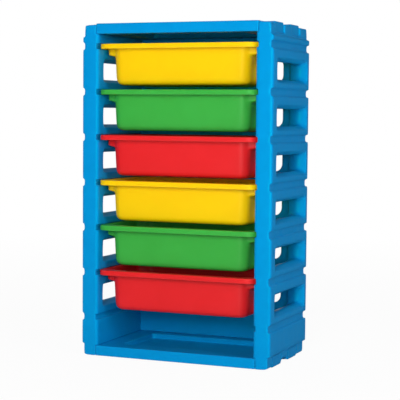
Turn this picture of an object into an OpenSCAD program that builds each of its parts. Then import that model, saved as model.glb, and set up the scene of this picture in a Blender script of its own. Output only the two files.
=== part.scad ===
// Toy cabinet: two tiered side panels, a top board, a base board and a back panel,
// with six open bins that hang by their rims in the grooves between the tiers.
// Millimetres. Origin at the middle of the footprint on the floor, front at -Y, +Z up.

/* [Cabinet] */
// Width over the two side panels
cabinet_w = 604; // [560:1:640]
// Depth of the side panels, front to back
cabinet_d = 332; // [316:1:352]
// Height from one runner groove to the next
row_pitch = 135; // [132:1:150]
// Height of the lowest groove's centre above the floor
first_groove = 117; // [112:1:130]
// Height of the top board's face above the highest groove's centre
crown_h = 67; // [62:1:72]
// How far the side panels' tops stay below the top board's face
crown_drop = 4; // [0:0.5:6]

/* [Side panels] */
// Thickness of a side panel at its tiers
panel_t = 54; // [50:1:58]
// Depth of the grooves between tiers, inside, outside and at the back
groove_depth = 8; // [6:0.5:10]
// Height of the outer groove at its root
notch_gap = 19; // [14:0.5:22]
// Rounding of the tiers' outer edges
tier_r = 8; // [4:0.5:9]
// Height of the narrow neck outside, at the foot and at the crown
neck_h = 35; // [32:0.5:37]
// Rounding of the neck's outer edges, on the floor and at the very top
neck_r = 8; // [2:0.5:10]
// Height of the inner groove that a bin's rim runs in
runner_gap = 16.5; // [16:0.5:20]
// Rounding of the inner groove's lips
runner_r = 2; // [1:0.5:3]
// Radius of the outer upright corners
post_r = 8; // [4:0.5:9]
// Radius of the inner upright corners
post_inner_r = 10; // [4:0.5:11]
// Height of the relief under the middle of a foot
relief_h = 9; // [5:0.5:12]
// Length of the relief under the middle of a foot
relief_l = 50; // [30:1:54]

/* [Side windows] */
// Distance from the front face to a window
window_front = 37; // [30:1:50]
// Distance from the back face to the waist of a window
window_back = 32; // [28:1:45]
// Distance from a groove's centre down to the waist of the window below it
window_drop = 47; // [44:1:50]
// Height of a window at its waist
window_h = 50; // [45:1:56]
// Corner radius of a window
window_r = 12; // [6:1:20]
// Depth of a window's waist behind the outer face
waist_depth = 22; // [12:1:40]
// Width of the flare over, under and behind a window on the outer face
flare = 12; // [4:0.5:14]
// Width of the flare over and under a window on the inner face
inner_flare = 10; // [2:0.5:12]
// Width of the flare behind a window on the inner face
inner_back_flare = 4; // [1:0.5:5]

/* [Boards] */
// Thickness of the top and base boards
board_t = 31; // [26:0.5:34]
// Rounding of a board's long edges
board_r = 4; // [2:0.5:8]
// Width of the border round a board's recess
border = 57; // [40:1:70]
// Depth of a board's recess
recess_depth = 17; // [8:0.5:19]
// Corner radius of a board's recess
recess_r = 22; // [10:1:30]
// Distance from the front face to the middle of the front tongue
front_tongue = 83; // [70:1:90]
// Distance from the front face to the middle of the back tongue
back_tongue = 223; // [216:1:236]
// Width of a tongue at its tip
tongue_w = 76; // [60:1:80]
// Width by which each side of a tongue narrows towards the board
dovetail = 6; // [2:0.5:8]
// How far a tongue's tip stays inside the panel's outer groove face
tongue_inset = 5; // [2:0.5:10]
// Clearance between pieces that slide together
fit_gap = 0.3; // [0.2:0.05:0.6]

/* [Back panel] */
// Thickness of the back panel
back_t = 14; // [10:0.5:16]
// Distance from the back panel's back face to the back edge of the boards
back_setback = 2; // [1:0.5:6]
// Depth of the upright slots that hold the back panel
back_slot = 6; // [4:0.5:7]
// Height of the openings in the back panel
back_window_h = 75; // [60:1:84]
// Corner radius of those openings
back_window_r = 24; // [12:1:30]
// Distance from a groove's centre down to the opening below it
back_window_drop = 27; // [24:1:36]
// Width of the back panel's uprights beside the openings
back_post = 23; // [14:1:40]

/* [Screws] */
// Diameter of a screw's shank
screw_d = 5; // [4:0.5:6]
// Length of a screw under its head
screw_l = 48; // [40:1:56]
// Diameter of a screw's head
head_d = 10.5; // [9:0.5:12]
// Height of a screw's head
head_h = 3.6; // [2.5:0.1:4.5]
// Depth of the counterbore that holds the head
counterbore = 5; // [4.5:0.5:7]
// Width of each arm of the cross recess in the head
cross_w = 1.2; // [1:0.1:1.6]
// Depth of the cross recess
cross_depth = 1.8; // [1.2:0.1:2]
// Chamfer round the head
head_chamfer = 1.2; // [0.6:0.1:1.6]
// Radial clearance of the shank in the panel's pilot hole
pilot_clear = 0.05; // [0.02:0.01:0.1]
// Radial clearance of the shank in the board's hole
hole_clear = 0.2; // [0.2:0.05:0.4]
// Radial clearance of the head in its counterbore
bore_clear = 0.75; // [0.5:0.05:1.2]
// Depth of the pilot hole past the screw's tip
pilot_spare = 2; // [1:0.5:4]

/* [Bins] */
// Height of a bin's rim band
rim_h = 15; // [12:0.5:15.5]
// Corner radius of the rim, seen from above
rim_r = 34; // [20:1:38]
// Wall thickness of a bin
wall = 2.6; // [2:0.1:4]
// Depth of a bin from its groove's centre down to its underside
bin_drop = 115; // [95:1:118]
// Distance from the rim's edge in to the shoulder
rim_reach = 10; // [7:0.5:16]
// Height of the shoulder under the rim band
shoulder_h = 18.5; // [14:0.5:30]
// Width of the step from the shoulder in to the side wall
shoulder_step = 24; // [14:1:30]
// How far the front wall stands behind the rim's front edge
lip = 28; // [16:1:36]
// Lean of the walls, in degrees from upright
draft = 2.5; // [1:0.5:5]
// Radius of the upright corners of a bin
bin_r = 32; // [20:1:36]
// Radius of the bin's bottom edge
bottom_r = 18; // [8:1:22]
// Side clearance from the rim to the groove's root
side_gap = 3; // [0.8:0.1:4]
// Clearance from the rim's back to the back panel
back_gap = 1; // [0.5:0.5:4]

/* [Hidden] */
$fn = 48;
hull_fn = 28;
rows = 6;
eps = 1;
thin_slice = 0.01;
floor_turns = [0, 30, 60, 90];
panel_blue = [0.0, 0.58, 0.85];
bin_yellow = [0.98, 0.83, 0.02];
bin_green = [0.24, 0.67, 0.28];
bin_red = [0.88, 0.17, 0.17];
steel = [0.72, 0.73, 0.75];

inner_x = cabinet_w / 2 - panel_t;
root_x = inner_x + groove_depth;
outer_root_x = cabinet_w / 2 - groove_depth;
front_y = -cabinet_d / 2;
back_y = cabinet_d / 2;
root_back_y = back_y - groove_depth;
cabinet_h = first_groove + rows * row_pitch + crown_h;
panel_h = cabinet_h - crown_drop;
ledge_z = cabinet_h - board_t;
mid_x = (root_x + outer_root_x) / 2;
tongue_tip_x = outer_root_x - tongue_inset;
tongue_ys = [front_y + front_tongue, front_y + back_tongue];
relief_y = (tongue_ys[0] + tongue_ys[1]) / 2;
back_panel_y = root_back_y - back_setback - back_t;
groove_floor = runner_gap / 2;
rim_low = groove_floor - fit_gap;
rim_x = root_x - side_gap;
rim_back_y = back_panel_y - back_gap;
rim_top = rim_h - rim_low;
pilot_d = screw_d + 2 * pilot_clear;
hole_d = screw_d + 2 * hole_clear;
bore_d = head_d + 2 * bore_clear;
pilot_depth = screw_l - (board_t - counterbore) + pilot_spare;
shoulder_r = bin_r / 2;

// Height of groove i above the floor, 0 for the lowest
function groove_z(i) = first_groove + i * row_pitch;

// Rectangle with one radius on its two left corners and another on its two right ones
module block_2d(x0, x1, z0, z1, left_r, right_r) {
    translate([x0 + left_r, z0])
        square([x1 - x0 - left_r - right_r, z1 - z0]);
    for (side = [[x0 + left_r, left_r, x0], [x1 - right_r, right_r, x1 - right_r]]) {
        if (side[1] > 0) {
            translate([side[2], z0 + side[1]])
                square([side[1], z1 - z0 - 2 * side[1]]);
            for (z = [z0 + side[1], z1 - side[1]])
                translate([side[0], z])
                    circle(r = side[1]);
        }
    }
}

// Rectangle from a low corner to a high corner, all four corners rounded
module round_rect(x0, x1, y0, y1, r) {
    translate([x0 + r, y0])
        square([x1 - x0 - 2 * r, y1 - y0]);
    translate([x0, y0 + r])
        square([x1 - x0, y1 - y0 - 2 * r]);
    for (x = [x0 + r, x1 - r], y = [y0 + r, y1 - r])
        translate([x, y])
            circle(r = r);
}

// Tiers of a panel, with a gap at each groove, between the tops of its foot and its crown
module tiers_2d(x0, x1, gap, foot_z, crown_z, left_r, right_r) {
    block_2d(x0, x1, foot_z, groove_z(0) - gap / 2, left_r, right_r);
    for (i = [1:rows])
        block_2d(x0, x1, groove_z(i - 1) + gap / 2, groove_z(i) - gap / 2, left_r, right_r);
    block_2d(x0, x1, groove_z(rows) + gap / 2, crown_z, left_r, right_r);
}

// Front view of a side panel
module panel_front_2d() {
    block_2d(root_x, outer_root_x, 0, panel_h, 0, neck_r);
    tiers_2d(inner_x, mid_x, runner_gap, board_t, ledge_z, runner_r, 0);
    tiers_2d(mid_x, cabinet_w / 2, notch_gap, neck_h, panel_h - neck_h, 0, tier_r);
}

// Side view of a side panel, with its notched back edge
module panel_side_2d() {
    translate([front_y, 0])
        square([root_back_y - front_y, panel_h]);
    tiers_2d(0, back_y, notch_gap, neck_h, panel_h - neck_h, 0, tier_r);
}

// Upright block with the plan of a side panel, its corners rounded
module panel_corners() {
    linear_extrude(panel_h)
        block_2d(inner_x, cabinet_w / 2, front_y, back_y, post_inner_r, post_r);
}

// Window that is narrowest at a waist inside the wall and flares towards both faces
module side_window(z) {
    y0 = front_y + window_front;
    y1 = back_y - window_back;
    z1 = z - window_drop;
    z0 = z1 - window_h;
    waist_x = cabinet_w / 2 - waist_depth;
    translate([inner_x - eps, 0, 0])
        rotate([90, 0, 90])
            linear_extrude(panel_t + 2 * eps)
                round_rect(y0, y1, z0, z1, window_r);
    inner_scale = [1 + inner_back_flare / (y1 - y0), 1 + 2 * inner_flare / window_h];
    translate([waist_x, y0, (z0 + z1) / 2])
        mirror([1, 0, 0])
            rotate([90, 0, 90])
                linear_extrude(waist_x - inner_x + eps, scale = inner_scale, slices = 1)
                    round_rect(0, y1 - y0, -window_h / 2, window_h / 2, window_r,
                        $fn = hull_fn);
    grow = flare * (waist_depth + eps) / waist_depth;
    hull() {
        translate([waist_x, 0, 0])
            rotate([90, 0, 90])
                linear_extrude(thin_slice)
                    round_rect(y0, y1, z0, z1, window_r, $fn = hull_fn);
        translate([cabinet_w / 2 + eps, 0, 0])
            rotate([90, 0, 90])
                linear_extrude(thin_slice)
                    round_rect(y0, y1 + grow, z0 - grow, z1 + grow,
                        window_r + grow, $fn = hull_fn);
    }
}

// Plan of one dovetail tongue, grown on every side by a gap
module tongue_2d(x0, x1, y, gap) {
    half = tongue_w / 2 + gap;
    slope = dovetail / (tongue_tip_x - root_x);
    inner = half - dovetail - slope * (root_x - x0);
    tip = min(x1, tongue_tip_x);
    polygon([[x0, y - inner], [tip, y - half], [x1, y - half],
        [x1, y + half], [tip, y + half], [x0, y + inner]]);
}

// Open slots for the tongues, at the foot and at the crown
module tongue_slots() {
    for (y = tongue_ys, z = [-eps, ledge_z])
        translate([0, 0, z])
            linear_extrude(board_t + eps)
                tongue_2d(root_x - eps, cabinet_w / 2 + eps, y, fit_gap);
}

// Pilot holes for the screws, above the base board and below the top board
module pilot_holes() {
    for (y = tongue_ys, z = [board_t - eps, ledge_z - pilot_depth])
        translate([mid_x, y, z])
            cylinder(d = pilot_d, h = pilot_depth + eps);
}

module side_panel() {
    difference() {
        intersection() {
            translate([0, back_y, 0])
                rotate([90, 0, 0])
                    linear_extrude(cabinet_d)
                        panel_front_2d();
            translate([inner_x, 0, 0])
                rotate([90, 0, 90])
                    linear_extrude(panel_t)
                        panel_side_2d();
            panel_corners();
        }
        for (i = [1:rows])
            side_window(groove_z(i));
        tongue_slots();
        pilot_holes();
        translate([inner_x - eps, back_panel_y - fit_gap, board_t])
            cube([back_slot + eps, back_t + 2 * fit_gap, ledge_z - board_t]);
        translate([inner_x, relief_y - relief_l / 2, -eps])
            cube([panel_t, relief_l, relief_h + eps]);
    }
}

// Board with a recess, dovetail tongues at both ends and counterbored screw holes below
module board() {
    end_x = root_x - fit_gap;
    difference() {
        union() {
            translate([-end_x, 0, 0])
                rotate([90, 0, 90])
                    linear_extrude(2 * end_x)
                        round_rect(front_y, root_back_y, 0, board_t, board_r);
            for (side = [0, 1], y = tongue_ys)
                mirror([side, 0, 0])
                    linear_extrude(board_t)
                        tongue_2d(end_x - eps, tongue_tip_x, y, 0);
        }
        translate([0, 0, board_t - recess_depth])
            linear_extrude(recess_depth + eps)
                round_rect(-inner_x + border, inner_x - border, front_y + border,
                    root_back_y - border + groove_depth, recess_r);
        for (side = [-1, 1], y = tongue_ys)
            translate([side * mid_x, y, -eps]) {
                cylinder(d = bore_d, h = counterbore + eps);
                cylinder(d = hole_d, h = board_t + 2 * eps);
            }
    }
}

// Pan-head screw, head down, with its shank up from the counterbore's floor
module screw() {
    tip_l = screw_d;
    low = counterbore - head_h;
    difference() {
        rotate_extrude()
            polygon([[0, low], [head_d / 2 - head_chamfer, low],
                [head_d / 2, low + head_chamfer], [head_d / 2, counterbore],
                [screw_d / 2, counterbore], [screw_d / 2, counterbore + screw_l - tip_l],
                [0, counterbore + screw_l]]);
        for (a = [0, 90])
            rotate([0, 0, a])
                translate([-head_d / 4, -cross_w / 2, low - eps])
                    cube([head_d / 2, cross_w, eps + cross_depth]);
    }
}

module screws() {
    for (x = [-mid_x, mid_x], y = tongue_ys)
        translate([x, y, 0])
            screw();
}

// One section of the bin's lower body, lying at height z and set in on every side
module bin_section(z, inset, thin) {
    lean = (rim_top - z) * tan(draft);
    half = rim_x - rim_reach - shoulder_step - lean - inset - thin;
    back = rim_back_y - lip - lean - inset - thin;
    front = front_y + lip + lean + inset + thin;
    r = max(bin_r - lean / 2 - thin, 2) - inset / 2;
    translate([0, 0, z])
        linear_extrude(thin_slice)
            round_rect(-half, half, front, back, r, $fn = hull_fn);
}

// Lower body of a bin from its underside up to height top, thinner by thin on every side
module bin_body(top, thin) {
    low = -bin_drop + thin;
    r = bottom_r - thin;
    hull() {
        for (a = floor_turns)
            bin_section(low + r * (1 - cos(a)), r * (1 - sin(a)), thin);
        bin_section(top, 0, thin);
    }
}

// Wide shoulder under the rim on both sides
module bin_shoulder(low, top, thin) {
    half = rim_x - rim_reach - thin;
    front = front_y + lip + shoulder_r + thin;
    back = rim_back_y - lip - shoulder_r - thin;
    translate([0, 0, low])
        linear_extrude(top - low)
            round_rect(-half, half, front, back, shoulder_r - thin / 2);
}

// Open bin that hangs by its rim, at the height of its groove's centre
module bin(i) {
    flange_z = rim_top - wall;
    shoulder_low = -rim_low - shoulder_h;
    translate([0, 0, groove_z(i)])
        difference() {
            union() {
                difference() {
                    translate([0, 0, -rim_low])
                        linear_extrude(rim_h)
                            round_rect(-rim_x, rim_x, front_y, rim_back_y, rim_r);
                    translate([0, 0, -rim_low - eps])
                        linear_extrude(flange_z + rim_low + eps)
                            round_rect(-rim_x + wall, rim_x - wall, front_y + wall,
                                rim_back_y - wall, rim_r - wall);
                }
                bin_shoulder(shoulder_low, flange_z + wall / 2, 0);
                bin_body(flange_z + wall / 2, 0);
            }
            bin_shoulder(shoulder_low + wall, rim_top + eps, wall);
            bin_body(rim_top + eps, wall);
        }
}

module left_side_panel() {
    color(panel_blue)
        mirror([1, 0, 0])
            side_panel();
}

module right_side_panel() {
    color(panel_blue)
        side_panel();
}

module base_board() {
    color(panel_blue)
        board();
}

// The same board turned over, so that its recess faces down
module top_board() {
    color(panel_blue)
        translate([0, 0, cabinet_h])
            mirror([0, 0, 1])
                board();
}

// Back panel in the upright slots, with a rounded opening behind each bin
module back_panel() {
    half = inner_x + back_slot - fit_gap;
    open_half = inner_x - back_post;
    color(panel_blue)
        translate([0, back_panel_y + back_t, 0])
            rotate([90, 0, 0])
                linear_extrude(back_t)
                    difference() {
                        translate([-half, board_t + fit_gap / 2])
                            square([2 * half, ledge_z - board_t - fit_gap]);
                        for (i = [1:rows])
                            round_rect(-open_half, open_half,
                                groove_z(i) - back_window_drop - back_window_h,
                                groove_z(i) - back_window_drop, back_window_r);
                    }
}

module base_screws() {
    color(steel)
        screws();
}

module top_screws() {
    color(steel)
        translate([0, 0, cabinet_h])
            mirror([0, 0, 1])
                screws();
}

module bin_1_yellow() {
    color(bin_yellow)
        bin(6);
}

module bin_2_green() {
    color(bin_green)
        bin(5);
}

module bin_3_red() {
    color(bin_red)
        bin(4);
}

module bin_4_yellow() {
    color(bin_yellow)
        bin(3);
}

module bin_5_green() {
    color(bin_green)
        bin(2);
}

module bin_6_red() {
    color(bin_red)
        bin(1);
}

left_side_panel();
right_side_panel();
top_board();
base_board();
back_panel();
top_screws();
base_screws();
bin_1_yellow();
bin_2_green();
bin_3_red();
bin_4_yellow();
bin_5_green();
bin_6_red();
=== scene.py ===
# %% [markdown]
# # A toy cabinet with six pull-out bins
#
# The cabinet is a children's storage unit in blow-moulded polyethylene. Two tiered side
# panels stand on a base board and carry a top board and a back panel. Six bins in
# injection-moulded polypropylene hang by their rims in the grooves between the tiers.
#
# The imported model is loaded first. It fixes where everything is and what moves, and each
# visible piece built below takes the place of one of its nodes and rides on its body.

# %% Load the frame
import math

import bmesh
import bpy
import numpy as np
from mathutils import Matrix, Vector


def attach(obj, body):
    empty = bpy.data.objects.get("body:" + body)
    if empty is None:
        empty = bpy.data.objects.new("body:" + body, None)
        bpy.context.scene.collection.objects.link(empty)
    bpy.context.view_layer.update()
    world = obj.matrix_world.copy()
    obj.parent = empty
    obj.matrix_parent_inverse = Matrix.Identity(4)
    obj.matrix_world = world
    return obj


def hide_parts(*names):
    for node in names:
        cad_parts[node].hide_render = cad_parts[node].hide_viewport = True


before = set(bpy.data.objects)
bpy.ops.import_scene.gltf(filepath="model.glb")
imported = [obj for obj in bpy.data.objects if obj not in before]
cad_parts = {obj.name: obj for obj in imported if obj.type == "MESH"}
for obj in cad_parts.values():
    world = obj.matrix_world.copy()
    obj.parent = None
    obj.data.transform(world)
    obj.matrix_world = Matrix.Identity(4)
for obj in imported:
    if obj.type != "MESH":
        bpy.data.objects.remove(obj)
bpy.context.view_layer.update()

# %% [markdown]
# ## Measures
#
# Every piece is worked out in millimetres, as the cabinet's maker would, and scaled to
# metres when its mesh is made. The grooves set the rhythm: seven of them, 135 mm apart,
# and a bin hangs in each but the lowest.

# %% Measures of the cabinet
MM = 0.001
DEPTH, HEIGHT, PANEL_TOP = 332.0, 994.0, 990.0
PITCH = 135.0
GROOVES = [117.0 + PITCH * i for i in range(7)]
BOARD = 31.0
FRONT, BACK = -DEPTH / 2, DEPTH / 2
NECK_BACK = BACK - 8.0
INNER_X, ROOT_X, OUTER_ROOT_X, OUTER_X = 248.0, 256.0, 294.0, 302.0
TONGUES = [FRONT + 83.0, FRONT + 223.0]
TONGUE_HALF = 38.0
TONGUE_SPANS = [(middle - TONGUE_HALF, middle + TONGUE_HALF) for middle in TONGUES]
print("groove heights:", GROOVES)

# %% [markdown]
# ## The camera
#
# The photograph is taken from the right, a little above the middle of the cabinet, with a
# long lens. The place and the turn of the camera were solved from the evenly spaced
# grooves, so the script only writes them down. Blender wants a rotation, and it is built
# here from the direction of view and a small roll.

# %% Camera at the photograph's view
CAMERA_AT = Vector((1.5154, -3.6179, 0.7246))
YAW, PITCH_DOWN, ROLL = 0.3935, 0.0652, 0.0087
FOCAL_PX, FRAME_PX, SENSOR_MM = 1296.4, 400, 36.0

forward = Vector((-math.sin(YAW) * math.cos(PITCH_DOWN),
                  math.cos(YAW) * math.cos(PITCH_DOWN), -math.sin(PITCH_DOWN)))
level_right = Vector((math.cos(YAW), math.sin(YAW), 0.0))
level_up = level_right.cross(forward)
right = level_right * math.cos(ROLL) + level_up * math.sin(ROLL)
up = level_up * math.cos(ROLL) - level_right * math.sin(ROLL)

camera_data = bpy.data.cameras.new("camera")
camera_data.sensor_width = SENSOR_MM
camera_data.lens = FOCAL_PX / FRAME_PX * SENSOR_MM
camera_data.clip_start, camera_data.clip_end = 0.05, 60.0
camera = bpy.data.objects.new("camera", camera_data)
bpy.context.scene.collection.objects.link(camera)
camera.matrix_world = Matrix.Translation(CAMERA_AT) @ Matrix(
    (right, up, -forward)).transposed().to_4x4()
bpy.context.scene.camera = camera
print("lens:", round(camera_data.lens, 2), "mm")

# %% [markdown]
# ## Colours
#
# Colours are written as the hex values that a colour picker gives. The shader works in
# linear light, so one function turns them over.

# %% Colour helper
def linear(hex_colour):
    """sRGB hex to the linear RGBA that a shader socket takes."""
    values = [int(hex_colour[i:i + 2], 16) / 255 for i in (1, 3, 5)]
    return [v / 12.92 if v <= 0.04045 else ((v + 0.055) / 1.055) ** 2.4
            for v in values] + [1.0]


print("cabinet blue in linear light:", [round(v, 3) for v in linear("#0490D7")])

# %% [markdown]
# ## Building materials from nodes
#
# One small function adds a node, sets its values and joins its inputs. Everything else is
# written out where it is used, so that each material can be read from top to bottom.

# %% Node helper
def add_node(tree, kind, values=None, links=None, **settings):
    """Adds a node. values fill sockets, links join them to other nodes' outputs."""
    node = tree.nodes.new(kind)
    for name, value in settings.items():
        setattr(node, name, value)
    for socket, value in (values or {}).items():
        node.inputs[socket].default_value = value
    for socket, source in (links or {}).items():
        tree.links.new(source, node.inputs[socket])
    return node


def new_material(name):
    """An empty node material and its tree."""
    material = bpy.data.materials.new(name)
    material.use_nodes = True
    material.node_tree.nodes.clear()
    return material, material.node_tree


print("node helper ready")

# %% [markdown]
# ## Blow-moulded polyethylene
#
# The panels are blown: a hot tube of HDPE is pressed by air against a cold, sand-blasted
# mould. That leaves a satin skin with a fine, even grain, slow waves where the wall cooled
# unevenly, and soft corners. To the eye it gives broad, blurred highlights. Hands and toys
# rub the edges smoother, in patches. The edges are also painted paler: partly that wear,
# and partly a painted highlight along them. Pointiness finds the edges, and a coarse noise
# breaks the pale line up.

# %% Material: blow-moulded HDPE, colour, worn edges and painted edge highlight
MOTTLE_MM, PANEL_EDGE_PATCH_MM = 35.0, 18.0
EDGE_FROM, EDGE_TO = 0.515, 0.60

hdpe, tree = new_material("blow_moulded_hdpe_blue")
place = add_node(tree, "ShaderNodeTexCoord")
mottle = add_node(tree, "ShaderNodeTexNoise", {"Scale": 1 / (MOTTLE_MM * MM), "Detail": 3.0},
                  {"Vector": place.outputs["Object"]})
skin_colour = add_node(tree, "ShaderNodeMix",
                       {"A": linear("#0486CB"), "B": linear("#0490D7")},
                       {"Factor": mottle.outputs["Fac"]}, data_type="RGBA")
shape = add_node(tree, "ShaderNodeNewGeometry")
edge = add_node(tree, "ShaderNodeMapRange", {"From Min": EDGE_FROM, "From Max": EDGE_TO},
                {"Value": shape.outputs["Pointiness"]})
patches = add_node(tree, "ShaderNodeTexNoise", {"Scale": 1 / (PANEL_EDGE_PATCH_MM * MM), "Detail": 4.0},
                   {"Vector": place.outputs["Object"]})
# Edge mask: the paler colour on it is partly wear and partly a painted highlight along the edges;
# the lower roughness on it is wear.
worn_and_highlit_edges = add_node(tree, "ShaderNodeMath", links={0: edge.outputs["Result"],
                                                1: patches.outputs["Fac"]},
                  operation="MULTIPLY")
# The paler edge colour #2FA8E0 is partly wear and partly a painted highlight.
colour = add_node(tree, "ShaderNodeMix", {"B": linear("#2FA8E0")},
                  {"Factor": worn_and_highlit_edges.outputs["Value"], "A": skin_colour.outputs["Result"]},
                  data_type="RGBA")
print("coloured", hdpe.name)

# %% [markdown]
# A blasted mould's grain is a few tenths of a millimetre, too fine to show, so it is drawn
# at 0.9 mm. The waves are about 60 mm long, and polyethylene's IOR is 1.53. The
# photograph's blue holds hardly any red, even where it shines, so the gloss is tinted to
# leave the red out.

# %% Material: blow-moulded HDPE, satin skin and grain
GRAIN_MM, WAVE_MM = 0.9, 60.0
satin = add_node(tree, "ShaderNodeMapRange", {"To Min": 0.36, "To Max": 0.46},
                 {"Value": mottle.outputs["Fac"]})
sheen = add_node(tree, "ShaderNodeMix", {"B": 0.30}, {"Factor": worn_and_highlit_edges.outputs["Value"],
                                                    "A": satin.outputs["Result"]})
grain = add_node(tree, "ShaderNodeTexNoise", {"Scale": 1 / (GRAIN_MM * MM), "Detail": 2.0},
                 {"Vector": place.outputs["Object"]})
wave = add_node(tree, "ShaderNodeTexNoise", {"Scale": 1 / (WAVE_MM * MM), "Detail": 1.0},
                {"Vector": place.outputs["Object"]})
grain_bump = add_node(tree, "ShaderNodeBump", {"Strength": 0.12, "Distance": 0.0002},
                      {"Height": grain.outputs["Fac"]})
wave_bump = add_node(tree, "ShaderNodeBump", {"Strength": 0.25, "Distance": 0.004},
                     {"Height": wave.outputs["Fac"], "Normal": grain_bump.outputs["Normal"]})
skin = add_node(tree, "ShaderNodeBsdfPrincipled",
                {"IOR": 1.53, "Specular IOR Level": 1.0, "Specular Tint": linear("#10FFA0"),
                 "Subsurface Weight": 0.06, "Subsurface Scale": 0.004},
                {"Base Color": colour.outputs["Result"], "Roughness": sheen.outputs["Result"],
                 "Normal": wave_bump.outputs["Normal"]})
add_node(tree, "ShaderNodeOutputMaterial", links={"Surface": skin.outputs["BSDF"]})
print("made", hdpe.name)

# %% [markdown]
# ## Injection-moulded polypropylene
#
# The bins are shot: polypropylene is pressed into a steel mould with a fine satin finish.
# The skin is closer than the panels', with faint flow marks that run away from the gate
# and a slight orange peel, and the 2.6 mm wall lets a little light through.
# Polypropylene's IOR is 1.49. Each colour lists its two flow tones, the tint of its gloss
# and the paler colour of its edges, which is partly scuffing and partly a painted highlight.

# %% Materials: injection-moulded PP in three colours
FLOW_MM, ORANGE_PEEL_MM, BIN_EDGE_PATCH_MM = 90.0, 2.5, 12.0
BIN_COLOURS = {"yellow": ("#ECBE00", "#F2C700", "#FFF0A0", "#F8D440"),
               "green": ("#32A038", "#3AAC42", "#E0FFE0", "#5CBE62"),
               "red": ("#D6181C", "#E01E24", "#FFE0E0", "#EC4A48")}
bin_plastic = {}
for colour_name, (dark, light, glint, scuffed_and_highlit) in BIN_COLOURS.items():
    plastic, tree = new_material("injection_moulded_pp_" + colour_name)
    place = add_node(tree, "ShaderNodeTexCoord")
    flow = add_node(tree, "ShaderNodeTexNoise", {"Scale": 1 / (FLOW_MM * MM), "Detail": 2.0,
                                                 "Distortion": 0.6},
                    {"Vector": place.outputs["Object"]})
    skin_colour = add_node(tree, "ShaderNodeMix", {"A": linear(dark), "B": linear(light)},
                           {"Factor": flow.outputs["Fac"]}, data_type="RGBA")
    shape = add_node(tree, "ShaderNodeNewGeometry")
    edge = add_node(tree, "ShaderNodeMapRange", {"From Min": EDGE_FROM, "From Max": EDGE_TO},
                    {"Value": shape.outputs["Pointiness"]})
    edge_patches = add_node(tree, "ShaderNodeTexNoise", {"Scale": 1 / (BIN_EDGE_PATCH_MM * MM), "Detail": 5.0},
                      {"Vector": place.outputs["Object"]})
    worn_and_highlit_edges = add_node(tree, "ShaderNodeMath", links={0: edge.outputs["Result"],
                                                    1: edge_patches.outputs["Fac"]},
                      operation="MULTIPLY")
    # The paler edge colour is partly scuffing and partly a painted highlight along the edges and
    # rims.
    colour = add_node(tree, "ShaderNodeMix", {"B": linear(scuffed_and_highlit)},
                      {"Factor": worn_and_highlit_edges.outputs["Value"], "A": skin_colour.outputs["Result"]},
                      data_type="RGBA")
    gloss = add_node(tree, "ShaderNodeMapRange", {"To Min": 0.42, "To Max": 0.50},
                     {"Value": flow.outputs["Fac"]})
    sheen = add_node(tree, "ShaderNodeMix", {"B": 0.55}, {"Factor": worn_and_highlit_edges.outputs["Value"],
                                                        "A": gloss.outputs["Result"]})
    peel = add_node(tree, "ShaderNodeTexNoise",
                    {"Scale": 1 / (ORANGE_PEEL_MM * MM), "Detail": 1.0},
                    {"Vector": place.outputs["Object"]})
    peel_bump = add_node(tree, "ShaderNodeBump", {"Strength": 0.06, "Distance": 0.0003},
                         {"Height": peel.outputs["Fac"]})
    skin = add_node(tree, "ShaderNodeBsdfPrincipled",
                    {"IOR": 1.49, "Specular Tint": linear(glint),
                     "Subsurface Weight": 0.12, "Subsurface Scale": 0.006},
                    {"Base Color": colour.outputs["Result"],
                     "Roughness": sheen.outputs["Result"],
                     "Normal": peel_bump.outputs["Normal"]})
    add_node(tree, "ShaderNodeOutputMaterial", links={"Surface": skin.outputs["BSDF"]})
    bin_plastic[colour_name] = plastic
print("made", [m.name for m in bin_plastic.values()])

# %% [markdown]
# ## Zinc-plated steel
#
# The locking screws are cold-headed steel with a bright zinc plating. It is a metal, so
# its colour tints the reflections, and the barrel plating leaves it slightly uneven, in
# patches of about 1.5 mm. A plain metal shader with a varied roughness is enough for that.

# %% Material: zinc-plated steel
PLATING_MM = 1.5
zinc, tree = new_material("zinc_plated_steel")
place = add_node(tree, "ShaderNodeTexCoord")
plating = add_node(tree, "ShaderNodeTexNoise", {"Scale": 1 / (PLATING_MM * MM), "Detail": 4.0},
                   {"Vector": place.outputs["Object"]})
colour = add_node(tree, "ShaderNodeMix", {"A": linear("#B4B8BA"), "B": linear("#C9CCCC")},
                  {"Factor": plating.outputs["Fac"]}, data_type="RGBA")
sheen = add_node(tree, "ShaderNodeMapRange", {"To Min": 0.24, "To Max": 0.40},
                 {"Value": plating.outputs["Fac"]})
skin = add_node(tree, "ShaderNodeBsdfPrincipled", {"Metallic": 1.0},
                {"Base Color": colour.outputs["Result"], "Roughness": sheen.outputs["Result"]})
add_node(tree, "ShaderNodeOutputMaterial", links={"Surface": skin.outputs["BSDF"]})
print("made", zinc.name)

# %% [markdown]
# ## From a cage to a smooth piece
#
# Moulded plastic has no sharp edges. The simplest way to such a skin in Blender is a light
# cage of quads with a Subdivision Surface modifier: the surface stays flat where the cage
# is wide and rounds an edge where cage lines run close beside it. A line at distance d
# from an edge gives a rounding of about half of d. One function makes the object, gives
# it its material, hides the node it stands for and hangs it on the body it rides on.

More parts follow.
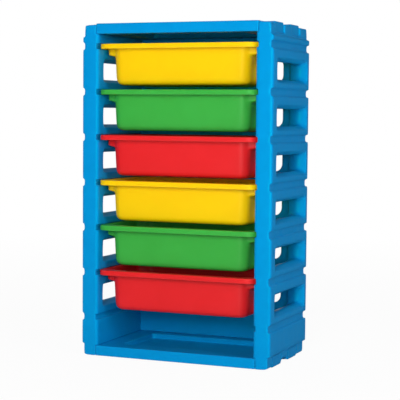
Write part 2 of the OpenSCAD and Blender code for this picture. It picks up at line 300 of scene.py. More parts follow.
# %% Piece helper
def make_piece(name, points_mm, faces, node, body, material, levels):
    """Cage in millimetres to a smooth piece that replaces a node and rides on a body."""
    mesh = bpy.data.meshes.new(name)
    mesh.from_pydata((np.asarray(points_mm) * MM).tolist(), [], [list(f) for f in faces])
    mesh.validate()
    mesh.materials.append(material)
    cage = bmesh.new()
    cage.from_mesh(mesh)
    bmesh.ops.recalc_face_normals(cage, faces=cage.faces)
    for face in cage.faces:
        face.smooth = True
    open_edges = sum(1 for e in cage.edges if len(e.link_faces) != 2)
    cage.to_mesh(mesh)
    cage.free()
    piece = bpy.data.objects.new(name, mesh)
    bpy.context.scene.collection.objects.link(piece)
    smooth = piece.modifiers.new("smooth", "SUBSURF")
    smooth.levels = smooth.render_levels = levels
    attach(piece, body)
    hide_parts(node)
    print(f"{name}: {len(mesh.polygons)} cage faces, {open_edges} open edges")
    return piece


# %% [markdown]
# ## A lattice of cells
#
# A side panel is a block with slots and windows cut along its three axes. Such a form is
# quick to write as a lattice: a list of stops along each axis, and for each cell between
# the stops whether there is plastic in it. Every face between a full and an empty cell
# becomes a quad of the cage. Stops that stand close beside an edge keep its rounding
# small. The lattice's points can then be shifted, to flare a window or taper a tongue.

# %% Lattice helper
def lattice_points(xs, ys, zs):
    """Positions of all the lattice's points, as an array [i, j, k] of (x, y, z)."""
    return np.stack(np.meshgrid(xs, ys, zs, indexing="ij"), axis=-1).astype(float)


def lattice_cage(points, filled):
    """Points and quads of the surface between full and empty cells."""
    padded = np.pad(filled, 1)
    quads = []
    for axis in range(3):
        across = np.eye(3, dtype=int)[(axis + 1) % 3]
        along = np.eye(3, dtype=int)[(axis + 2) % 3]
        for side in (0, 1):
            step = np.eye(3, dtype=int)[axis] * (2 * side - 1)
            beside = padded[tuple(slice(1 + s, 1 + s + n)
                                  for s, n in zip(step, filled.shape))]
            corner = np.argwhere(filled & ~beside) + np.eye(3, dtype=int)[axis] * side
            loop = [corner, corner + across, corner + across + along, corner + along]
            quads.append(np.stack(loop if side else loop[::-1], axis=1))
    quads = np.concatenate(quads)
    flat = np.ravel_multi_index(quads.reshape(-1, 3).T, points.shape[:3])
    used, faces = np.unique(flat, return_inverse=True)
    return points.reshape(-1, 3)[used], faces.reshape(-1, 4)


def between(stops, low, high):
    """The cells of an axis that lie between two of its stops."""
    return slice(stops.index(low), stops.index(high))


print("lattice helper ready")

# %% [markdown]
# ## The side panels
#
# Each panel is one hollow blow-moulded piece, 54 mm thick. Between the grooves it bulges
# into tiers, and each tier has a window that flares towards both faces. The inner grooves
# are the runners for the bins' rims, the outer ones are there for looks and stiffness,
# and run on round the back edge. At the foot and the head the panel narrows to a neck,
# which the boards' tongues drop into. Between the lower tongues the foot has a low relief.
#
# The heights below come in pairs, for the outer and the inner side, because a groove is
# wider outside than inside. The lattice is built with the outer heights, and the inner
# points are moved afterwards.

# %% Side panel: stops of the lattice
WAIST_X = 280.0
SLOT_X, SLOT_Y = 253.5, (142.0, 156.0)
PANEL_X = [INNER_X, SLOT_X, ROOT_X, 262.0, WAIST_X, OUTER_ROOT_X, 298.0, OUTER_X]
WINDOW_Y, WINDOW_LOW, WINDOW_HIGH = (FRONT + 37.0, BACK - 32.0), -97, -47
RELIEF_MIDDLE, RELIEF_HALF, RELIEF_H = (TONGUES[0] + TONGUES[1]) / 2, 25.0, 9
RELIEF_Y = (RELIEF_MIDDLE - RELIEF_HALF, RELIEF_MIDDLE + RELIEF_HALF)
PANEL_Y = [FRONT, -160.0, -150.0, -136.0, WINDOW_Y[0], *TONGUE_SPANS[0], *RELIEF_Y,
           *TONGUE_SPANS[1], 100.0, 122.0, WINDOW_Y[1], *SLOT_Y, NECK_BACK, 162.0, BACK]
NOTCH, RUNNER, FOOT_NECK, CROWN_NECK, END_LINE = 9.5, 8.25, 35.0, PANEL_TOP - 35.0, 4
FOOT_Z = [(0, 0), (END_LINE, END_LINE), (RELIEF_H, RELIEF_H), (27, 27), (BOARD, BOARD),
          (FOOT_NECK, FOOT_NECK), (39, 39), (43, 43), (99.5, 99.5), (103.5, 104.5),
          (107.5, 108.75)]
TIER_Z = [(NOTCH, RUNNER), (13.5, 12.5), (17.5, 17.5), (33, 33), (38, 38), (53, 53), (72, 72),
          (88, 88), (93, 93), (117.5, 117.5), (121.5, 122.5),
          (PITCH - NOTCH, PITCH - RUNNER)]
CROWN_Z = [(NOTCH, RUNNER), (13.5, 12.5), (19, 19), (24, 24), (28, 28), (36, 36), (40, 40),
           (59, 59), (63, 63)]
heights = list(FOOT_Z)
for groove in GROOVES[:-1]:
    heights += [(groove + outer, groove + inner) for outer, inner in TIER_Z]
heights += [(GROOVES[-1] + outer, GROOVES[-1] + inner) for outer, inner in CROWN_Z]
PANEL_Z = [outer for outer, inner in heights]
LEDGE_Z = HEIGHT - BOARD
print(len(PANEL_X), "x", len(PANEL_Y), "x", len(PANEL_Z), "stops")

# %% Side panel: which cells are full
full = np.ones((len(PANEL_X) - 1, len(PANEL_Y) - 1, len(PANEL_Z) - 1), bool)
all_x, all_y = slice(None), slice(None)
inner_cells = between(PANEL_X, INNER_X, ROOT_X)
outer_cells = between(PANEL_X, OUTER_ROOT_X, OUTER_X)
back_cells = between(PANEL_Y, NECK_BACK, BACK)
notches = [between(PANEL_Z, g - NOTCH, g + NOTCH) for g in GROOVES]
outer_necks = [between(PANEL_Z, 0, FOOT_NECK), between(PANEL_Z, CROWN_NECK, PANEL_TOP)]
board_seats = [between(PANEL_Z, 0, BOARD), between(PANEL_Z, LEDGE_Z, PANEL_TOP)]
for layer in notches + outer_necks:
    full[outer_cells, all_y, layer] = False
    full[all_x, back_cells, layer] = False
for layer in notches + board_seats:
    full[inner_cells, all_y, layer] = False
for groove in GROOVES[1:]:
    full[all_x, between(PANEL_Y, *WINDOW_Y),
         between(PANEL_Z, groove + WINDOW_LOW, groove + WINDOW_HIGH)] = False
for layer in board_seats:
    for span in TONGUE_SPANS:
        full[all_x, between(PANEL_Y, *span), layer] = False
full[all_x, between(PANEL_Y, *RELIEF_Y), between(PANEL_Z, 0, RELIEF_H)] = False
full[between(PANEL_X, INNER_X, SLOT_X), between(PANEL_Y, *SLOT_Y),
     between(PANEL_Z, BOARD, LEDGE_Z)] = False
print("full cells:", int(full.sum()), "of", full.size)

# %% [markdown]
# The points are now shifted. The inner side gets its own heights. The tiers' outer edges
# and the upright corners are drawn onto arcs: a point at distance d from an edge with
# rounding r stands back by r - sqrt(r^2 - (r - d)^2), and the edge itself goes to the
# middle of the arc.

# %% Side panel: round the tiers and the upright corners
def stand_back(distance, radius):
    """How far a face stands back at a distance from its rounded edge."""
    d = np.clip(distance, radius * (1 - math.sqrt(0.5)), radius)
    return radius - np.sqrt(radius ** 2 - (radius - d) ** 2)


def deepest(*depths):
    """The greatest of several depths, point by point."""
    return np.maximum.reduce(np.broadcast_arrays(*depths))


def both_edges(distances, span, radius):
    """How far a face stands back between two rounded edges."""
    low, high = span
    return np.maximum(stand_back(distances - low, radius), stand_back(high - distances, radius))


TIER_R, INNER_CORNER_R, OUTER_CORNER_R, NECK_R = 8.0, 10.0, 8.0, 8.0
x, y, z = np.array(PANEL_X), np.array(PANEL_Y), np.array(PANEL_Z, float)
tier_ends = sorted([FOOT_NECK, CROWN_NECK]
                   + [groove + way * NOTCH for groove in GROOVES for way in (-1, 1)])
to_end = np.abs(z[:, None] - np.array(tier_ends)).min(axis=1)

panel = lattice_points(PANEL_X, PANEL_Y, PANEL_Z)
last_inner = PANEL_X.index(WAIST_X)
panel[:last_inner, :, :, 2] = np.array([inner for outer, inner in heights])
outer_plan = both_edges(y, (FRONT, BACK), OUTER_CORNER_R)
inner_plan = both_edges(y, (FRONT, BACK), INNER_CORNER_R)
across = np.maximum(stand_back(x - INNER_X, INNER_CORNER_R),
                    stand_back(OUTER_X - x, OUTER_CORNER_R))
panel[0, :, :, 0] += inner_plan[:, None]
panel[-1, :, :, 0] -= deepest(outer_plan[:, None], stand_back(to_end, TIER_R)[None, :])
panel[:, 0, :, 1] += across[:, None]
panel[:, -1, :, 1] -= deepest(across[:, None], stand_back(to_end, TIER_R)[None, :])
for end in tier_ends:
    k = PANEL_Z.index(end)
    into_tier = 1 if tier_ends.index(end) % 2 == 0 else -1
    drop = deepest(stand_back(OUTER_X - x, TIER_R)[:, None],
                   stand_back(BACK - y, TIER_R)[None, :])
    outer_or_back = (x[:, None] > OUTER_ROOT_X) | (y[None, :] > NECK_BACK)
    panel[:, :, k, 2] += into_tier * np.where(outer_or_back, drop, 0)
for k, way in ((0, 1), (-1, -1)):
    neck_edge = stand_back(OUTER_ROOT_X - x, NECK_R)
    panel[:, :, k, 2] += way * np.where(x <= OUTER_ROOT_X, neck_edge, 0)[:, None]
    panel[PANEL_X.index(OUTER_ROOT_X), :, k, 0] -= stand_back(0, NECK_R)
    panel[PANEL_X.index(OUTER_ROOT_X), :, k + way, 0] -= stand_back(END_LINE, NECK_R)
print("rounded", len(tier_ends), "tier ends")

# %% [markdown]
# The windows are narrowest at a waist inside the wall, where the two walls of the blown
# panel are pressed together. From there they flare by 12 mm to the outer face and by 10 mm
# to the inner one, and their back edges by 12 and 4 mm. The cage's waist is a little
# narrower than that, because the smoothing draws it back. The tongue slots narrow towards
# the board, so that a tongue can't pull out sideways.

# %% Side panel: flare the windows
THROUGH_WALL = (INNER_X, WAIST_X, OUTER_X)
above_and_below = np.interp(x, THROUGH_WALL, (10.0, -2.5, 12.0))
behind = np.interp(x, THROUGH_WALL, (4.0, -1.5, 12.0))
CORNER_IN, LINE_FOLLOWS = 2, 0.8
j0, j1 = (PANEL_Y.index(stop) for stop in WINDOW_Y)
for groove in GROOVES[1:]:
    k0, k1 = (PANEL_Z.index(groove + stop) for stop in (WINDOW_LOW, WINDOW_HIGH))
    for i, (rise, reach) in enumerate(zip(above_and_below, behind)):
        panel[i, j0:j1 + 1, k0 - 1:k0 + 1, 2] -= rise
        panel[i, j0:j1 + 1, k1:k1 + 2, 2] += rise
        panel[i, j1, k0:k1 + 1, 1] += reach
        panel[i, j1 + 1, k0 - 1:k1 + 2, 1] += LINE_FOLLOWS * max(reach, 0)
    for j, inwards in ((j0, CORNER_IN), (j1, -CORNER_IN)):
        panel[:, j, k0, 1:] += (inwards, CORNER_IN)
        panel[:, j, k1, 1:] += (inwards, -CORNER_IN)
print("flared", len(GROOVES) - 1, "windows")

# %% Side panel: narrow the slots and make both panels
TONGUE_TIP_X, DOVETAIL = 289.0, 6
narrowing = np.clip((TONGUE_TIP_X - x) / (TONGUE_TIP_X - ROOT_X), 0, 1) * DOVETAIL
for low, high in TONGUE_SPANS:
    for layer in (slice(0, PANEL_Z.index(BOARD)), slice(PANEL_Z.index(LEDGE_Z) + 1, None)):
        panel[:, PANEL_Y.index(low), layer, 1] += narrowing[:, None]
        panel[:, PANEL_Y.index(high), layer, 1] -= narrowing[:, None]

panel_points, panel_faces = lattice_cage(panel, full)
for side, node in ((1, "right_side_panel"), (-1, "left_side_panel")):
    make_piece(node + "_skin", panel_points * (side, 1, 1), panel_faces, node, "cabinet",
               hdpe, levels=2)

# %% [markdown]
# ## The two boards
#
# The top and the base are the same moulding: a slab with a shallow recess on one face and
# two tongues at each end. The base has its recess up, as a tray, and the top has it down.
# The tongues flare towards their tips. At the head they stop 5 mm short of the neck's
# outer face, and at the foot they end nearly flush with it, as the smooth foot shows.
# The lattice makes this form as well. Each tongue has a counterbored hole for its locking
# screw: four cells are left out, and the eight points round them are set on a circle.

# %% Boards: lattice
BOARD_END_X, RECESS_X, RECESS_Y, RECESS_Z = 255.7, 191.0, (-109.0, 109.0), 14.0
SCREW_X, BORE_R, HOLE_R, BORE_Z, TIP_LINE_X = 275.0, 6.0, 2.7, 5.0, TONGUE_TIP_X - 2.0
half_x = [155.0, RECESS_X, 198.0, 253.7, BOARD_END_X, SCREW_X - BORE_R, SCREW_X,
          SCREW_X + BORE_R, TIP_LINE_X, TONGUE_TIP_X]
BOARD_X = [-x for x in reversed(half_x)] + half_x
(front_low, front_high), (back_low, back_high) = TONGUE_SPANS
BOARD_Y = [FRONT, -159.0, front_low, -116.0, RECESS_Y[0], TONGUES[0] - BORE_R, TONGUES[0],
           TONGUES[0] + BORE_R, -50.0, front_high, back_low, 24.0, TONGUES[1] - BORE_R,
           TONGUES[1], TONGUES[1] + BORE_R, 90.0, back_high, RECESS_Y[1], 151.0, NECK_BACK]
BOARD_Z = [0.0, BORE_Z, RECESS_Z, 18.0, 27.0, BOARD]

full = np.ones((len(BOARD_X) - 1, len(BOARD_Y) - 1, len(BOARD_Z) - 1), bool)
ends = [between(BOARD_X, -TONGUE_TIP_X, -BOARD_END_X),
        between(BOARD_X, BOARD_END_X, TONGUE_TIP_X)]
for end in ends:
    for low, high in ((FRONT, front_low), (front_high, back_low), (back_high, NECK_BACK)):
        full[end, between(BOARD_Y, low, high), :] = False
full[between(BOARD_X, -RECESS_X, RECESS_X), between(BOARD_Y, *RECESS_Y),
     between(BOARD_Z, RECESS_Z, BOARD)] = False
for x0, x1 in ((-SCREW_X - BORE_R, -SCREW_X + BORE_R), (SCREW_X - BORE_R, SCREW_X + BORE_R)):
    for middle in TONGUES:
        full[between(BOARD_X, x0, x1),
             between(BOARD_Y, middle - BORE_R, middle + BORE_R), :] = False
print("full cells:", int(full.sum()), "of", full.size)

# %% [markdown]
# The tongues' points are drawn in towards the board, with 0.3 mm of play in the slots. A
# ring of eight points shrinks when it is smoothed, so the screw holes' rings are made 8 %
# wider than the holes.

# %% Boards: taper the tongues and round the screw holes
PLAY, LINE_TAPER, RING_GROWS = 0.3, 0.7, 1.08
HOLE_RADII = (BORE_R, BORE_R - 0.3, HOLE_R, HOLE_R, HOLE_R, HOLE_R)
board = lattice_points(BOARD_X, BOARD_Y, BOARD_Z)
from_tip = (TONGUE_TIP_X - np.abs(BOARD_X)) / (TONGUE_TIP_X - ROOT_X)
taper = np.clip(from_tip, 0, 1) * DOVETAIL + PLAY
past_slab = np.abs(BOARD_X) >= BOARD_END_X
for low, high in TONGUE_SPANS:
    j0, j1 = BOARD_Y.index(low), BOARD_Y.index(high)
    for j, way in ((j0, 1), (j0 + 1, LINE_TAPER), (j1 - 1, -LINE_TAPER), (j1, -1)):
        board[past_slab, j, :, 1] += way * taper[past_slab, None]
for hole_x in (-SCREW_X, SCREW_X):
    for hole_y in TONGUES:
        i, j = BOARD_X.index(hole_x), BOARD_Y.index(hole_y)
        for di in (-1, 0, 1):
            for dj in (-1, 0, 1):
                reach = math.hypot(di, dj) or 1
                for k, radius in enumerate(HOLE_RADII):
                    board[i + di, j + dj, k, :2] = (
                        hole_x + di / reach * radius * RING_GROWS,
                        hole_y + dj / reach * radius * RING_GROWS)
print("tongues are drawn in by up to", round(float(taper.max()), 1), "mm")

# %% Boards: make both boards
TIP_REACH = 4.6
board_points, board_faces = lattice_cage(board, full)
at_tip = np.abs(board_points[:, 0]) >= TIP_LINE_X
base_points = board_points.copy()
base_points[:, 0] += np.sign(board_points[:, 0]) * at_tip * TIP_REACH
make_piece("base_board_skin", base_points, board_faces, "base_board", "cabinet",
           hdpe, levels=2)
make_piece("top_board_skin", np.array([0, 0, HEIGHT]) + board_points * (1, 1, -1), board_faces,
           "top_board", "cabinet", hdpe, levels=2)

# %% [markdown]
# ## The back panel
#
# The back is a thin moulding with a wide, rounded opening behind each bin. A flat plate
# with shaped holes is easiest as a 2D curve: the outline and the holes are splines, the
# extrusion gives the thickness, and the curve's own bevel rounds every edge.

# %% Back panel: curve to mesh
BACK_HALF, BACK_T, BACK_Y, BACK_ROUND = 253.7, 14.0, 142.0, 3.0
OPEN_HALF, OPEN_HIGH, OPEN_LOW, OPEN_R, ARC_STEPS = 225.0, -27.0, -102.0, 24.0, 8
SEAT_GAP = 0.15


def opening(half, low, high, radius):
    """Points of a rectangle with rounded corners."""
    points = []
    for quarter, (x, z) in enumerate(((half - radius, high - radius),
                                      (radius - half, high - radius),
                                      (radius - half, low + radius),
                                      (half - radius, low + radius))):
        for i in range(ARC_STEPS + 1):
            turn = math.pi / 2 * (quarter + i / ARC_STEPS)
            points.append((x + radius * math.cos(turn), z + radius * math.sin(turn)))
    return points


def plate_outline(inset):
    """Outline of the back panel and its openings, set back to leave room for a bevel."""
    low, high = BOARD + SEAT_GAP + inset, LEDGE_Z - SEAT_GAP - inset
    half = BACK_HALF - inset
    yield [(-half, low), (half, low), (half, high), (-half, high)]
    for groove in GROOVES[1:]:
        yield opening(OPEN_HALF + inset, groove + OPEN_LOW - inset, groove + OPEN_HIGH + inset,
                      OPEN_R + inset)


plate = bpy.data.curves.new("back_plate", "CURVE")
plate.dimensions, plate.fill_mode = "2D", "BOTH"
plate.extrude = (BACK_T / 2 - BACK_ROUND) * MM
plate.bevel_depth, plate.bevel_resolution = BACK_ROUND * MM, 4
for outline in plate_outline(BACK_ROUND):
    spline = plate.splines.new("POLY")
    spline.use_cyclic_u = True
    spline.points.add(len(outline) - 1)
    for point, (x, z) in zip(spline.points, outline):
        point.co = (x * MM, z * MM, 0, 1)
plate_object = bpy.data.objects.new("back_plate", plate)
bpy.context.scene.collection.objects.link(plate_object)
plate_object.matrix_world = (Matrix.Translation((0, (BACK_Y + BACK_T / 2) * MM, 0))
                             @ Matrix.Rotation(math.pi / 2, 4, "X"))
bpy.context.view_layer.update()
plate_mesh = bpy.data.meshes.new_from_object(plate_object)
plate_mesh.transform(plate_object.matrix_world)
bpy.data.objects.remove(plate_object)
print("back panel:", len(plate_mesh.polygons), "faces")

# %% [markdown]
# A mesh that comes from a curve is in loose strips. They are welded into one closed skin,
# and a limited dissolve takes out the points that the flat faces don't need. The normals
# stay sharp only where two faces meet at more than 35 degrees, so the bevel looks round.

# %% Back panel: weld, smooth and seat
welded = bmesh.new()
welded.from_mesh(plate_mesh)
bmesh.ops.remove_doubles(welded, verts=welded.verts, dist=1e-5)
bmesh.ops.dissolve_limit(welded, angle_limit=math.radians(0.5), verts=welded.verts,
                         edges=welded.edges)
bmesh.ops.recalc_face_normals(welded, faces=welded.faces)
for face in welded.faces:
    face.smooth = True
print("open edges:", sum(1 for e in welded.edges if len(e.link_faces) != 2))
welded.to_mesh(plate_mesh)
welded.free()
plate_mesh.materials.clear()
plate_mesh.materials.append(hdpe)
plate_mesh.set_sharp_from_angle(angle=math.radians(35))
back_panel = bpy.data.objects.new("back_panel_skin", plate_mesh)
bpy.context.scene.collection.objects.link(back_panel)
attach(back_panel, "cabinet")
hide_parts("back_panel")

# %% [markdown]
# ## The bins
#
# A bin is a thin-walled tub. From outside to inside its skin runs in one path: across the
# underside, round the bottom edge, up the leaning wall, out over the shoulder that sits
# under the rim on both sides, along under the flange, down and up round the rim band,
# over the top, and down the inside to the floor. That path is lofted: each stop on it is
# a ring of the same number of points round the bin, and neighbouring rings are joined by
# quads. The wall leans in by 2.5 degrees, the draft that lets it leave the mould. At the
# front and the back the flange is 28 mm wide, so that fingers can pull the bin by it.
#
# A ring is described for one quarter, from the middle of the side to the middle of the
# front, and mirrored. Where the path runs on the shoulder, the side's points stand
# further out, which gives the shoulder its own front and back faces.

# %% Bins: measures and the shape of one ring
RIM_HALF, RIM_DEEP, RIM_R = 253.0, 153.5, 34.0
BODY_HALF, BODY_DEEP, BODY_R = 219.0, 125.5, 32.0
SHOULDER_HALF, SHOULDER_DEEP, SHOULDER_R = 243.0, 109.5, 16.0
WALL, BIN_MIDDLE_Y = 2.6, -12.5
RIM_TOP, RIM_LOW, SHOULDER_LOW, BIN_LOW = 7.05, -7.95, -26.45, -115.0
FLOOR_R = 18.0
LEAN = math.tan(math.radians(2.5))
TURNS = (0, 12, 24, 34, 46, 60, 75, 90)
SIDE_STOPS, FRONT_STOP, CORNER_STOP = (0, 60, 85), 75, 45
ON_SHOULDER, STEP_OUT = 7, 2.5


def corner_points(half, deep, radius):
    """One quarter of a rounded rectangle, from the side's middle to the front's."""
    points = [(half, stop) for stop in SIDE_STOPS]
    points += [(half - radius + radius * math.cos(math.radians(a)),
                deep - radius + radius * math.sin(math.radians(a))) for a in TURNS]
    return points + [(half - radius - CORNER_STOP, deep), (FRONT_STOP, deep), (0, deep)]


def shoulder_points(inset, body):
    """The same quarter where it runs round the shoulder: its side points stand out."""
    half, deep, radius = SHOULDER_HALF - inset, SHOULDER_DEEP - inset, SHOULDER_R - inset / 2
    near = radius * math.sqrt(0.5)
    out = [(half, stop) for stop in SIDE_STOPS]
    out += [(half, deep - radius), (half - radius + near, deep - radius + near),
            (half - radius, deep), (body[ON_SHOULDER - 1][0] + STEP_OUT, deep)]
    return out + body[ON_SHOULDER:]


def whole_ring(quarter, heights_mm):
    """Mirrors a quarter round the bin and adds the heights."""
    raised = [(x, y, z) for (x, y), z in zip(quarter, heights_mm)]
    ring = [(x, -y, z) for x, y, z in raised]
    ring += [(-x, -y, z) for x, y, z in reversed(raised[:-1])]
    ring += [(-x, y, z) for x, y, z in raised[1:]]
    ring += [(x, y, z) for x, y, z in reversed(raised[1:-1])]
    return [(x, y + BIN_MIDDLE_Y, z) for x, y, z in ring]


print("points in a ring:", 4 * (len(TURNS) + 5))

# %% [markdown]
# Four kinds of ring make up the path: level ones on the leaning wall, ones that run out on
# the shoulder, ones that close the bottom, and ones round the rim. The wall's upright
# corners get tighter towards the floor, as they do in a tub that leans in.

# %% Bins: kinds of ring
CORNER_TIGHTENS, LEAST_CORNER = 0.6, 6
BOTTOM_STOPS, BOTTOM_TURNS, PAST_ROUND = (30, 4), (15, 40, 65), 1.1


def body_quarter(z, inset):
    """The leaning wall's outline at a height, drawn in by an inset."""
    lean = (RIM_TOP - z) * LEAN + inset
    return corner_points(BODY_HALF - lean, BODY_DEEP - lean,
                         max(BODY_R - lean * CORNER_TIGHTENS, LEAST_CORNER))


def level(quarter, z):
    """A ring whose points are all at one height."""
    return whole_ring(quarter, [z] * len(quarter))


def shoulder_ring(z_shoulder, z_wall, inset):
    """A ring with its shoulder's points at one height and the wall's at another."""
    quarter = shoulder_points(inset, body_quarter(z_wall, inset))
    return whole_ring(quarter, [z_shoulder] * ON_SHOULDER
                      + [z_wall] * (len(quarter) - ON_SHOULDER))


def bottom_rings(low, radius, inset):
    """The flat bottom and its rounded edge, from the middle outwards."""
    rings = [level(body_quarter(low, inset + radius + stop), low) for stop in BOTTOM_STOPS]
    for turn in BOTTOM_TURNS:
        a = math.radians(turn)
        z = low + radius * (1 - math.cos(a))
        rings.append(level(body_quarter(z, inset + radius * (1 - math.sin(a))), z))
    z = low + radius * PAST_ROUND
    return rings + [level(body_quarter(z, inset), z)]


def rim_ring(inset, z):
    """A ring round the rim, drawn in by an inset."""
    return level(corner_points(RIM_HALF - inset, RIM_DEEP - inset, RIM_R - inset), z)


print("points of a quarter on the shoulder:", ON_SHOULDER)

# %% [markdown]
# The path is put together from the outside, the rim band and the inside. For the shoulder
# each entry gives the height at the shoulder and at the wall, and for the rim band the
# inset and the height. Rings that lie close together keep a rounding small.

# %% Bins: the path of rings from the underside to the floor inside
WALL_STOPS, UNDER_SHOULDER = (-65, -38), 1.5
UNDER_RIM = RIM_TOP - WALL
SHOULDER_OUTSIDE = ((SHOULDER_LOW, SHOULDER_LOW + 2), (SHOULDER_LOW + 5, SHOULDER_LOW + 7),
                    (RIM_LOW, RIM_LOW), (2.0, 2.0), (UNDER_RIM, UNDER_RIM))
RIM_BAND = ((WALL + 1.8, UNDER_RIM), (WALL, UNDER_RIM - 1.0), (WALL, RIM_LOW + 1.5),
            (WALL - 0.6, RIM_LOW), (0.6, RIM_LOW), (0.0, RIM_LOW + 1.5), (0.0, RIM_TOP - 3.2),
            (0.35, RIM_TOP - 0.5), (3.4, RIM_TOP))
SHOULDER_FLOOR = SHOULDER_LOW + WALL
SHOULDER_INSIDE = ((RIM_TOP - 0.8, RIM_TOP - 0.8), (RIM_LOW, RIM_LOW),
                   (SHOULDER_FLOOR + 5, SHOULDER_FLOOR + 7),
                   (SHOULDER_FLOOR, SHOULDER_FLOOR + 2))

path = bottom_rings(BIN_LOW, FLOOR_R, 0)
path += [level(body_quarter(z, 0), z) for z in (*WALL_STOPS, SHOULDER_LOW - UNDER_SHOULDER)]
path += [shoulder_ring(*heights_mm, 0) for heights_mm in SHOULDER_OUTSIDE]
path += [rim_ring(inset, z) for inset, z in RIM_BAND]
path += [shoulder_ring(RIM_TOP, RIM_TOP, WALL - 2.0)]
path += [shoulder_ring(*heights_mm, WALL) for heights_mm in SHOULDER_INSIDE]
path += [level(body_quarter(z, WALL), z)
         for z in (SHOULDER_FLOOR - UNDER_SHOULDER, *WALL_STOPS[::-1])]
path += bottom_rings(BIN_LOW + WALL, FLOOR_R - WALL, WALL)[::-1]
print("rings in the path:", len(path))

# %% [markdown]
# The rings become one closed cage, with a single wide face at each end. It is used six
# times, once in each groove, and every bin rides on its own body, so it can slide out.

# %% Bins: loft the rings and hang six bins
count = len(path[0])
bin_points = np.array([point for ring in path for point in ring], float)
bin_faces = [(r * count + i, r * count + (i + 1) % count,
              (r + 1) * count + (i + 1) % count, (r + 1) * count + i)
             for r in range(len(path) - 1) for i in range(count)]
bin_faces += [tuple(range(count))[::-1],
              tuple(range((len(path) - 1) * count, len(path) * count))]

BIN_ORDER = ["yellow", "green", "red", "yellow", "green", "red"]
for number, colour_name in enumerate(BIN_ORDER, start=1):
    groove = GROOVES[7 - number]
    make_piece(f"bin_{number}_{colour_name}_skin", bin_points + (0, 0, groove), bin_faces,
               f"bin_{number}_{colour_name}", f"bin_{number}",
               bin_plastic[colour_name], levels=1)

# %% [markdown]
# ## The locking screws
#
# The screws' heads sit in the boards' counterbores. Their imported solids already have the
# right shape, so they keep it: welding and a small Bevel modifier take the sharpness off,
# and they get the zinc-plated finish.

# %% Screws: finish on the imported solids
for node in ("top_screws", "base_screws"):
    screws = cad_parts[node]
    screws.data.materials.clear()
    screws.data.materials.append(zinc)
    weld = screws.modifiers.new("weld", "WELD")
    weld.merge_threshold = 1e-5
    soften = screws.modifiers.new("soften", "BEVEL")
    soften.width, soften.segments, soften.limit_method = 0.0003, 2, "ANGLE"
    soften.angle_limit = math.radians(40)
    soften.harden_normals = True
print("screws finished")

# %% [markdown]
# ## Floor and light
#
# The photograph is a cut-out on white. The floor is pale and keeps a soft shadow: what the
# camera sees of it is mostly plain white, with some of the lit floor mixed in. Far from
# the cabinet it turns to pure white, so that no horizon shows. Reflections show the floor
# nearly as dim as the studio round it.

# %% Floor
FLOOR_HALF, FLOOR_DROP, FADE_FROM, FADE_TO = 12.0, 0.0005, 1.0, 4.0
STUDIO_SEEN, WHITE_SEEN = 0.02, 0.95
floor_paint, tree = new_material("pale_floor")
place = add_node(tree, "ShaderNodeTexCoord")
away = add_node(tree, "ShaderNodeVectorMath", links={0: place.outputs["Object"]},
                operation="LENGTH")
fade = add_node(tree, "ShaderNodeMapRange",
                {"From Min": FADE_FROM, "From Max": FADE_TO, "To Min": WHITE_SEEN, "To Max": 1.0},
                {"Value": away.outputs["Value"]})
ray = add_node(tree, "ShaderNodeLightPath")
mirrored = add_node(tree, "ShaderNodeMath", links={0: ray.outputs["Is Glossy Ray"],
                                                  1: ray.outputs["Is Transmission Ray"]},
                    operation="MAXIMUM")
either = add_node(tree, "ShaderNodeMath", links={0: ray.outputs["Is Camera Ray"],
                                                1: mirrored.outputs["Value"]},
                  operation="MAXIMUM")
seen = add_node(tree, "ShaderNodeMath", links={0: either.outputs["Value"],
                                              1: fade.outputs["Result"]}, operation="MULTIPLY")
glow = add_node(tree, "ShaderNodeMapRange", {"To Min": STUDIO_SEEN, "To Max": 1.0},
                {"Value": ray.outputs["Is Camera Ray"]})
matt = add_node(tree, "ShaderNodeBsdfDiffuse", {"Color": linear("#F0F0F0")})
white = add_node(tree, "ShaderNodeEmission", {"Color": (1, 1, 1, 1)},
                 {"Strength": glow.outputs["Result"]})
both = add_node(tree, "ShaderNodeMixShader", links={0: seen.outputs["Value"],
                                                   1: matt.outputs["BSDF"],
                                                   2: white.outputs["Emission"]})
add_node(tree, "ShaderNodeOutputMaterial", links={"Surface": both.outputs["Shader"]})

floor_mesh = bpy.data.meshes.new("floor")
floor_mesh.from_pydata([(x * FLOOR_HALF, y * FLOOR_HALF, 0) for x, y in
                        ((-1, -1), (1, -1), (1, 1), (-1, 1))], [], [(0, 1, 2, 3)])
floor_mesh.materials.append(floor_paint)
floor = bpy.data.objects.new("floor", floor_mesh)
bpy.context.scene.collection.objects.link(floor)
floor.location.z = -FLOOR_DROP
print("floor ready")

# %% [markdown]
# The studio lights the cabinet evenly from all round at a low level. A white paper sweep
# stands behind it, opposite the photographer, and its light is what the cabinet's back
# gets. Reflections and transmitted light show the sweep where they run that way, and the
# dim studio elsewhere. The camera sees only white. How far the sweep reaches is given as
# the cosine of the angle from its middle: once for its light, once for how it is seen.

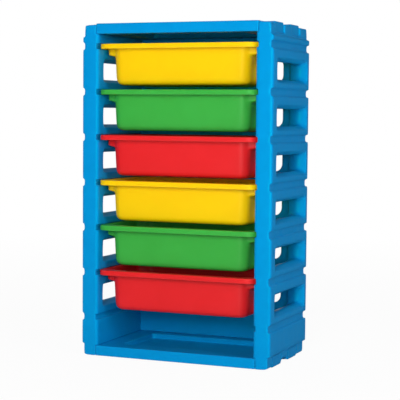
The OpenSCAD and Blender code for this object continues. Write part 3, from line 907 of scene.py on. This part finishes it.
# %% Studio world
FILL, SWEEP_FILL = 0.18, 2.4
LIGHT_FROM, SEEN_FROM, SEEN_FULL = 0.5, 0.93, 0.99
world = bpy.data.worlds.new("studio")
bpy.context.scene.world = world
world.use_nodes = True
tree = world.node_tree
tree.nodes.clear()
ray = add_node(tree, "ShaderNodeLightPath")
place = add_node(tree, "ShaderNodeTexCoord")
towards = add_node(tree, "ShaderNodeVectorMath", {1: forward}, {0: place.outputs["Generated"]},
                   operation="DOT_PRODUCT")
sweep = add_node(tree, "ShaderNodeMapRange", {"From Min": SEEN_FROM, "From Max": SEEN_FULL,
                                              "To Min": STUDIO_SEEN, "To Max": 1.0},
                 {"Value": towards.outputs["Value"]})
mirrored = add_node(tree, "ShaderNodeMath", links={0: ray.outputs["Is Glossy Ray"],
                                                  1: ray.outputs["Is Transmission Ray"]},
                    operation="MAXIMUM")
soft = add_node(tree, "ShaderNodeMapRange", {"From Min": LIGHT_FROM, "To Min": FILL,
                                             "To Max": SWEEP_FILL},
                {"Value": towards.outputs["Value"]})
by_kind = add_node(tree, "ShaderNodeMix", links={"Factor": mirrored.outputs["Value"],
                                                 "A": soft.outputs["Result"],
                                                 "B": sweep.outputs["Result"]})
strength = add_node(tree, "ShaderNodeMix", {"B": 1.0}, {"Factor": ray.outputs["Is Camera Ray"],
                                                       "A": by_kind.outputs["Result"]})
sky = add_node(tree, "ShaderNodeBackground", {"Color": (1, 1, 1, 1)},
               {"Strength": strength.outputs["Result"]})
add_node(tree, "ShaderNodeOutputWorld", links={"Surface": sky.outputs["Background"]})
print("world ready")

# %% [markdown]
# Three soft boxes stand round the photographer. One is in front, and gives most of the
# light that the bins get. One is far round to the right and lights the cabinet's right
# side. Nearer the front, it would throw the right panel's shadow over the bins' ends. The
# small one is low by the camera, and reaches in between the bins. It is the only one that
# shows as gloss: the two large ones would glare on the flat top, seen from behind.

# %% Soft boxes
def soft_lamp(name, at, aim, size, power):
    """A square soft box at a point, turned towards another."""
    data = bpy.data.lights.new(name, "AREA")
    data.shape, data.size, data.energy = "SQUARE", size, power
    lamp = bpy.data.objects.new(name, data)
    bpy.context.scene.collection.objects.link(lamp)
    lamp.location = at
    lamp.rotation_mode = "QUATERNION"
    lamp.rotation_quaternion = (Vector(aim) - Vector(at)).to_track_quat("-Z", "Y")
    return lamp


side_box = soft_lamp("side", (3.8, -1.55, 1.6), (0, 0, 0.5), size=1.6, power=60)
front_box = soft_lamp("front", (0.7, -3.6, 1.5), (0, 0, 0.5), size=1.2, power=75)
side_box.visible_glossy = front_box.visible_glossy = False
soft_lamp("low_fill", (1.0, -3.6, 0.8), (0, 0, 0.4), size=0.8, power=26)
bpy.context.scene.view_settings.view_transform = "Standard"
